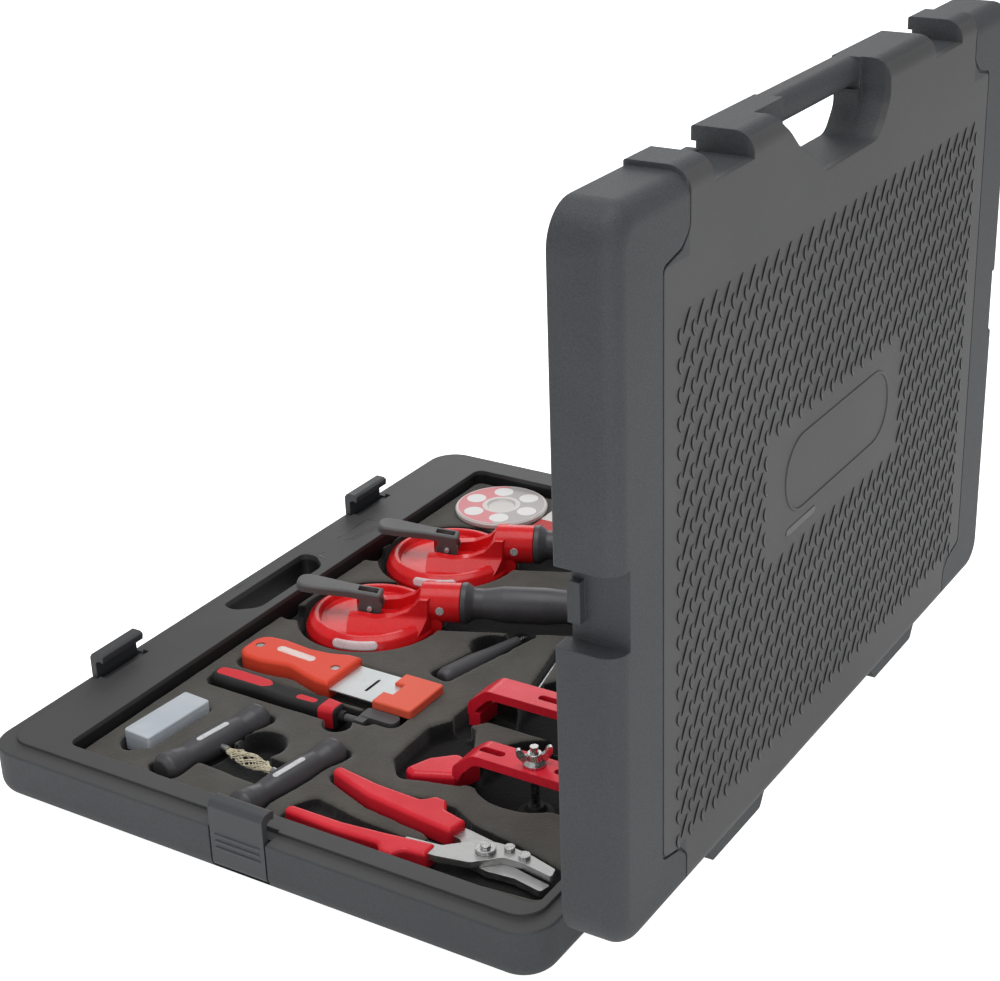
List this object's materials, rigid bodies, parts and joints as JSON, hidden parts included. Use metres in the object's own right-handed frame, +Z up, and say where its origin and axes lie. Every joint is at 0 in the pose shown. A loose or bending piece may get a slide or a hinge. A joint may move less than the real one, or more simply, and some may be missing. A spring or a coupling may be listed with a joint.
{
  "type": "tool case set",
  "caption": "Hinged moulded carry case with a foam tray of glass-removal hand tools: suction lifters, scraper, knife, pliers, wire pulls and strap clamps.",
  "frame": {"origin": "centre of the case base's underside, on the ground", "axes": "+Z up, +X along the case's length, +Y from the carry-slot side towards the lid hinge; the lid stands open at 90 degrees at rest"},
  "size_m": [0.6016, 0.5201, 0.501],
  "materials": {
    "case_plastic": "pebble-grained blow-moulded plastic",
    "latch_plastic": "smooth satin moulding",
    "foam": "closed-cell foam, fine grain",
    "pin_steel": "bright drawn steel",
    "rubber_black": "moulded rubber",
    "red_paint": "gloss paint on die casting",
    "black_plastic": "satin black moulding",
    "orange_plastic": "satin orange-red moulding",
    "blade_steel": "ground blade steel",
    "red_plastic": "satin red dip sleeve",
    "chrome": "bright plated",
    "clear_plastic": "milky clear moulding",
    "wire": "braided cord",
    "label_print": "printed label",
    "card": "coated card"
  },
  "bodies": {
    "case_base": {"base_shell": "case_plastic", "foam_insert": "foam", "hinge_pins": "pin_steel", "latch_pins": "pin_steel"},
    "lid": {"lid_shell": "case_plastic", "lid_foam": "foam"},
    "latch_front_left": {"latch_front_left": "latch_plastic"},
    "latch_front_right": {"latch_front_right": "latch_plastic"},
    "latch_side_left": {"latch_side_left": "latch_plastic"},
    "latch_side_right": {"latch_side_right": "latch_plastic"},
    "scraper": {"scraper_handle": "orange_plastic", "scraper_blade": "blade_steel", "scraper_screws": "pin_steel"},
    "scraper_guard": {"scraper_guard": "orange_plastic"},
    "knife": {"knife_handle": "black_plastic", "knife_inlays": "red_plastic", "knife_blade": "black_plastic"},
    "blade_case": {"blade_tray": "clear_plastic", "spare_blades": "blade_steel"},
    "blade_case_lid": {"blade_lid": "clear_plastic"},
    "wire_pulls": {"pull_handle_near": "black_plastic", "pull_handle_far": "black_plastic", "pull_ferrules": "pin_steel", "pull_wire": "wire"},
    "pliers": {"pliers_arm_inner": "chrome", "pliers_grip_inner": "red_plastic", "pliers_pivot": "chrome"},
    "pliers_outer": {"pliers_arm_outer": "chrome", "pliers_grip_outer": "red_plastic", "pliers_bolts": "chrome"},
    "clamp_a": {"clamp_a_strap": "red_paint"},
    "clamp_a_screw": {"clamp_a_stud": "chrome", "clamp_a_wing_nut": "chrome", "clamp_a_pad": "rubber_black"},
    "clamp_b": {"clamp_b_strap": "red_paint"},
    "clamp_b_screw": {"clamp_b_stud": "chrome", "clamp_b_wing_nut": "chrome", "clamp_b_pad": "rubber_black"},
    "picker": {"picker_handle": "black_plastic", "picker_tip": "chrome"},
    "steel_rod": {"steel_rod": "pin_steel"},
    "reel": {"wire_reel": "card", "reel_label": "label_print"},
    "carton": {"carton_box": "card"},
    "lifter_a": {"lifter_a_cup": "rubber_black", "lifter_a_body": "red_paint", "lifter_a_plunger": "chrome", "lifter_a_pins": "chrome", "lifter_a_grip": "black_plastic"},
    "lifter_a_lever": {"lifter_a_lever": "black_plastic"},
    "lifter_b": {"lifter_b_cup": "rubber_black", "lifter_b_body": "red_paint", "lifter_b_plunger": "chrome", "lifter_b_pins": "chrome", "lifter_b_grip": "black_plastic"},
    "lifter_b_lever": {"lifter_b_lever": "black_plastic"}
  },
  "joints": [
    {"name": "lid_hinge", "type": "hinge", "parent": "case_base", "child": "lid", "pos_m": [0, 0.24, 0.03], "axis": [-1, 0, 0], "range_deg": [-90, 8]},
    {"name": "latch_front_left_swing", "type": "hinge", "parent": "case_base", "child": "latch_front_left", "pos_m": [-0.163, -0.2271, 0.0105], "axis": [1, 0, 0], "range_deg": [0, 90]},
    {"name": "latch_front_right_swing", "type": "hinge", "parent": "case_base", "child": "latch_front_right", "pos_m": [0.163, -0.2271, 0.0105], "axis": [1, 0, 0], "range_deg": [0, 90]},
    {"name": "latch_side_left_swing", "type": "hinge", "parent": "case_base", "child": "latch_side_left", "pos_m": [-0.2961, 0, 0.0105], "axis": [0, -1, 0], "range_deg": [0, 90]},
    {"name": "latch_side_right_swing", "type": "hinge", "parent": "case_base", "child": "latch_side_right", "pos_m": [0.2961, 0, 0.0105], "axis": [0, 1, 0], "range_deg": [0, 90]},
    {"name": "lifter_a_lift_out", "type": "slide", "parent": "case_base", "child": "lifter_a", "axis": [0, 0, 1], "range_m": [0, 0.12]},
    {"name": "lifter_a_lever_swing", "type": "hinge", "parent": "lifter_a", "child": "lifter_a_lever", "pos_m": [-0.01, -0.1106, 0.0385], "axis": [-0.9178, -0.3971, 0], "range_deg": [0, 88]},
    {"name": "lifter_b_lift_out", "type": "slide", "parent": "case_base", "child": "lifter_b", "axis": [0, 0, 1], "range_m": [0, 0.12]},
    {"name": "lifter_b_lever_swing", "type": "hinge", "parent": "lifter_b", "child": "lifter_b_lever", "pos_m": [-0.1279, -0.1143, 0.0385], "axis": [-0.9178, -0.3971, 0], "range_deg": [0, 88]},
    {"name": "scraper_lift_out", "type": "slide", "parent": "case_base", "child": "scraper", "axis": [0, 0, 1], "range_m": [0, 0.12]},
    {"name": "guard_slide", "type": "slide", "parent": "scraper", "child": "scraper_guard", "axis": [0, 1, 0], "range_m": [0, 0.028]},
    {"name": "knife_lift_out", "type": "slide", "parent": "case_base", "child": "knife", "axis": [0, 0, 1], "range_m": [0, 0.12]},
    {"name": "blade_case_lift_out", "type": "slide", "parent": "case_base", "child": "blade_case", "axis": [0, 0, 1], "range_m": [0, 0.12]},
    {"name": "blade_case_lid_swing", "type": "hinge", "parent": "blade_case", "child": "blade_case_lid", "pos_m": [0.19913, -0.15747, 0.03145], "axis": [0.9976, -0.0698, 0], "range_deg": [0, 100]},
    {"name": "wire_pulls_lift_out", "type": "slide", "parent": "case_base", "child": "wire_pulls", "axis": [0, 0, 1], "range_m": [0, 0.12]},
    {"name": "pliers_lift_out", "type": "slide", "parent": "case_base", "child": "pliers", "axis": [0, 0, 1], "range_m": [0, 0.12]},
    {"name": "pliers_squeeze", "type": "hinge", "parent": "pliers", "child": "pliers_outer", "pos_m": [0.23, 0.15, 0.03], "axis": [0, 0, -1], "range_deg": [-1, 5]},
    {"name": "clamp_a_lift_out", "type": "slide", "parent": "case_base", "child": "clamp_a", "axis": [0, 0, 1], "range_m": [0, 0.12]},
    {"name": "clamp_a_screw_turn", "type": "hinge", "parent": "clamp_a", "child": "clamp_a_screw", "pos_m": [0.069, 0.138, 0.048], "axis": [0, 0, 1], "continuous": true},
    {"name": "clamp_b_lift_out", "type": "slide", "parent": "case_base", "child": "clamp_b", "axis": [0, 0, 1], "range_m": [0, 0.12]},
    {"name": "clamp_b_screw_turn", "type": "hinge", "parent": "clamp_b", "child": "clamp_b_screw", "pos_m": [0.148, 0.138, 0.048], "axis": [0, 0, 1], "continuous": true},
    {"name": "picker_lift_out", "type": "slide", "parent": "case_base", "child": "picker", "axis": [0, 0, 1], "range_m": [0, 0.12]},
    {"name": "steel_rod_lift_out", "type": "slide", "parent": "case_base", "child": "steel_rod", "axis": [0, 0, 1], "range_m": [0, 0.12]},
    {"name": "reel_lift_out", "type": "slide", "parent": "case_base", "child": "reel", "axis": [0, 0, 1], "range_m": [0, 0.12]},
    {"name": "carton_lift_out", "type": "slide", "parent": "case_base", "child": "carton", "axis": [0, 0, 1], "range_m": [0, 0.12]}
  ]
}
